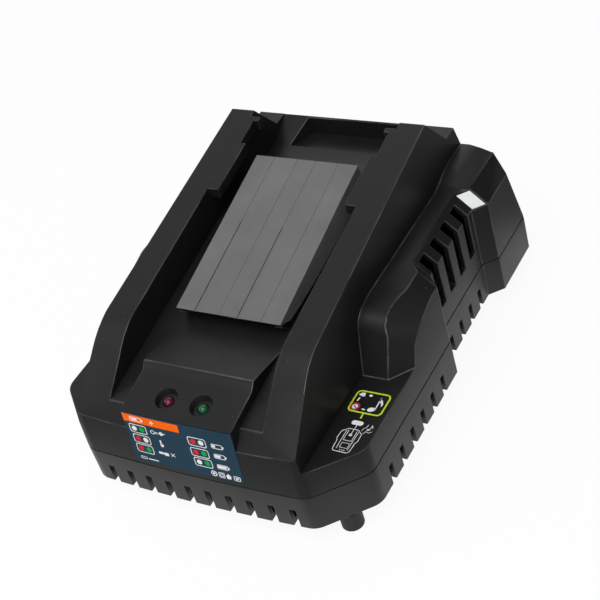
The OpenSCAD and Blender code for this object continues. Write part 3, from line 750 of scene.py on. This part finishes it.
def charger_plan():
    """A charger from above, with its rails, bay and lamps, and a button that points into its bay."""
    button = [
        patch(65.1, 33.0, 5.2, 2.3, 1.0), stroke(65.4, 31.9, 65.2, 26.4, 0.28), disc(65.2, 26.3, 0.72, 16)]
    housing = outline([
        (62.9, 29.5), (67.3, 29.5), (68.2, 28.7), (69.5, 27.6), (69.7, 23.6), (69.0, 22.4), (68.8, 17.9),
        (68.0, 17.0), (61.9, 17.0), (61.1, 17.9), (61.0, 22.4), (60.3, 23.6), (60.6, 27.6), (62.1, 28.7)], 0.32)
    rails = outline([(62.5, 28.3), (62.6, 18.4)], 0.26, False)
    rails += outline([(67.9, 28.3), (67.6, 18.4)], 0.26, False)
    bay = outline([(63.4, 28.6), (63.3, 23.2), (67.1, 23.2), (67.1, 28.6)], 0.26, False)
    panel = outline([(63.6, 21.8), (67.0, 21.8), (67.1, 19.2), (63.7, 19.2)], 0.2)
    lamps = [disc(x, 18.0, 0.26, 10) for x in (64.4, 65.4, 66.3)]
    return button + housing + rails + bay + panel + lamps


def sound_waves():
    """Sound that leaves the charger."""
    return (outline([(68.7, 29.6), (69.0, 31.0), (69.9, 31.6), (70.1, 33.2)], 0.24, False)
            + outline([(69.9, 28.2), (70.6, 29.5), (71.9, 29.0), (73.0, 30.0)], 0.24, False)
            + note_shapes(71.1, 30.6, 0.62))


def print_shoulder():
    sign_frame = [hollowed(patch(64.9, 44.5, 15.7, 12.3, 2.2), 0.72), stroke(65.0, 38.3, 65.2, 35.6, 0.7)]
    signs = sound_signs()
    stop = [hollowed(disc(59.8, 41.3, 2.2), 0.45), stroke(58.5, 42.6, 61.1, 40.0, 0.4)]
    signs += charger_plan() + sound_waves()
    for name, shapes, ink in (
            ("shoulder_frame", sign_frame, LIME_INK), ("shoulder_signs", signs, WHITE_INK),
            ("shoulder_stop", stop, RED_INK)):
        print_ink(name, shapes, ink, SHOULDER_INK, on_shoulder)


print_label()
print_shoulder()


# ---------------------------------------------------------------- camera, light and floor

# the photograph's camera, solved from its straight edges: lens and sensor in millimetres, its place, and the
# directions of its right, its top and its back
CAMERA_LENS, CAMERA_SENSOR = 85.81, 36
CAMERA_PLACE = (0.323618, -0.386988, 0.438253)
CAMERA_AXES = (
    (0.856472, 0.456338, -0.241269), (-0.136925, 0.651501, 0.746189), (0.497701, -0.606055, 0.620477))

# the room: an even glow, and softer bright zones, each a (direction, spread, strength)
ROOM_GLOW = 0.06
ROOM_ZONES = [
    ((-0.45, 0.6, 0.66), 0.68, 0.6), ((0.15, -0.93, 0.33), 0.5, 0.7), ((0.93, -0.25, 0.27), 0.75, 1.0)]

# softboxes: name, place, size, power; all aim at the middle of the object
SOFTBOXES = [
    ("overhead", (0.1, -0.45, 1.2), (1.0, 0.9), 11),
    ("left_box", (-1.1, -0.35, 0.7), (0.8, 0.8), 3.0),
    ("back_box", (-0.3, 1.2, 0.9), (1.0, 0.4), 1.2),
    ("front_fill", (0.1, -1.3, 0.6), (0.9, 0.6), 3.0),
]
OBJECT_MIDDLE = (0, 0, 0.04)

# the pale paper under and behind the object, in metres, and its colour
FLOOR_SIZE, FLOOR_DROP, BACKDROP_RADIUS, BACKDROP_HEIGHT = 6, 0.05 * MM, 2.9, 0.75
PAPER_TONE = 0.86
# how much of it is seen as plain white, the rest as lit paper with the object's shadow
PAPER_WHITE = 0.93
# half the object's width and depth; gloss sees the paper white up to PAPER_NEAR beside them, and dimmed to
# PAPER_DIM from PAPER_FAR on: a painted pool of light that shows only in reflections
PAPER_HALVES = (("X", 0.075), ("Y", 0.095))
PAPER_NEAR, PAPER_FAR, PAPER_DIM = 0.006, 0.045, 0.22


def set_camera():
    camera = bpy.data.objects.new("camera", bpy.data.cameras.new("camera"))
    bpy.context.scene.collection.objects.link(camera)
    camera.data.sensor_width = CAMERA_SENSOR
    camera.data.lens = CAMERA_LENS
    camera.data.clip_start = 0.01
    turn = Matrix(CAMERA_AXES).transposed().to_4x4()
    camera.matrix_world = Matrix.Translation(CAMERA_PLACE) @ turn
    bpy.context.scene.camera = camera


def soft_lamp(name, spot, size, power):
    data = bpy.data.lights.new(name, "AREA")
    data.shape = "RECTANGLE"
    data.size, data.size_y = size
    data.energy = power
    lamp = bpy.data.objects.new(name, data)
    bpy.context.scene.collection.objects.link(lamp)
    lamp.location = spot
    lamp.rotation_euler = (Vector(OBJECT_MIDDLE) - Vector(spot)).to_track_quat("-Z", "Y").to_euler()


def paper_glow(tree):
    """How bright gloss sees the paper: a painted pool of light, white beside the object and darker away from
    it.
    """
    where = tree.nodes.new("ShaderNodeSeparateXYZ")
    tree.links.new(object_point(tree), where.inputs[0])
    beyond = []
    for axis, half in PAPER_HALVES:
        reach = maths(tree, "SUBTRACT", maths(tree, "ABSOLUTE", where.outputs[axis]), half)
        beyond.append(maths(tree, "POWER", maths(tree, "MAXIMUM", reach), 2.0))
    away = maths(tree, "POWER", maths(tree, "ADD", *beyond), 0.5)
    return remap(tree, away, (PAPER_NEAR, PAPER_FAR), (1.0, PAPER_DIM), smooth=True)


def seen_white(tree, shaded, share):
    """Mixes plain white over a shader for what the camera, gloss and glass see of it."""
    path = tree.nodes.new("ShaderNodeLightPath")
    straight = maths(tree, "ADD", path.outputs["Is Camera Ray"], path.outputs["Is Transmission Ray"])
    gloss = path.outputs["Is Glossy Ray"]
    white = tree.nodes.new("ShaderNodeEmission")
    white.inputs["Color"].default_value = (1, 1, 1, 1)
    glow = maths(tree, "MULTIPLY", gloss, paper_glow(tree))
    tree.links.new(maths(tree, "ADD", straight, glow), white.inputs["Strength"])
    mix = tree.nodes.new("ShaderNodeMixShader")
    tree.links.new(maths(tree, "MULTIPLY", maths(tree, "ADD", straight, gloss), share), mix.inputs["Fac"])
    tree.links.new(shaded, mix.inputs[1])
    tree.links.new(white.outputs[0], mix.inputs[2])
    return mix.outputs[0]


def set_room():
    """A studio room whose walls glow softly all round, and more in a few zones."""
    world = bpy.data.worlds.new("studio")
    bpy.context.scene.world = world
    world.use_nodes = True
    tree = world.node_tree
    tree.nodes.clear()
    out = tree.nodes.new("ShaderNodeOutputWorld")
    air = tree.nodes.new("ShaderNodeBackground")
    air.inputs["Color"].default_value = (1, 1, 1, 1)
    tree.links.new(air.outputs[0], out.inputs["Surface"])
    heading = tree.nodes.new("ShaderNodeTexCoord").outputs["Generated"]
    total = ROOM_GLOW
    for toward, edge, strength in ROOM_ZONES:
        facing = tree.nodes.new("ShaderNodeVectorMath")
        facing.operation = "DOT_PRODUCT"
        facing.inputs[1].default_value = Vector(toward).normalized()
        tree.links.new(heading, facing.inputs[0])
        zone = remap(tree, facing.outputs["Value"], (edge, 1.0), (0.0, strength), smooth=True)
        total = maths(tree, "ADD", total, zone)
    tree.links.new(total, air.inputs["Strength"])


def pale_material():
    material = bpy.data.materials.new("pale_floor")
    material.use_nodes = True
    tree = material.node_tree
    tree.nodes.clear()
    out = tree.nodes.new("ShaderNodeOutputMaterial")
    matte = tree.nodes.new("ShaderNodeBsdfDiffuse")
    matte.inputs["Color"].default_value = (PAPER_TONE, PAPER_TONE, PAPER_TONE, 1)
    tree.links.new(seen_white(tree, matte.outputs[0], PAPER_WHITE), out.inputs["Surface"])
    return material


def set_studio():
    bpy.context.scene.view_settings.view_transform = "Standard"
    set_room()
    pale = pale_material()
    clear_selection()
    bpy.ops.mesh.primitive_plane_add(size=FLOOR_SIZE, location=(0, 0, -FLOOR_DROP))
    floor = bpy.context.active_object
    floor.name = "floor"
    clear_selection()
    bpy.ops.mesh.primitive_cylinder_add(
        vertices=96, radius=BACKDROP_RADIUS, depth=BACKDROP_HEIGHT, end_fill_type="NOTHING",
        location=(0, 0, BACKDROP_HEIGHT / 2))
    backdrop = bpy.context.active_object
    backdrop.name = "backdrop"
    for sheet in (floor, backdrop):
        settle(sheet)
        sheet.data.materials.append(pale)
    for name, spot, size, power in SOFTBOXES:
        soft_lamp(name, spot, size, power)


set_camera()
set_studio()
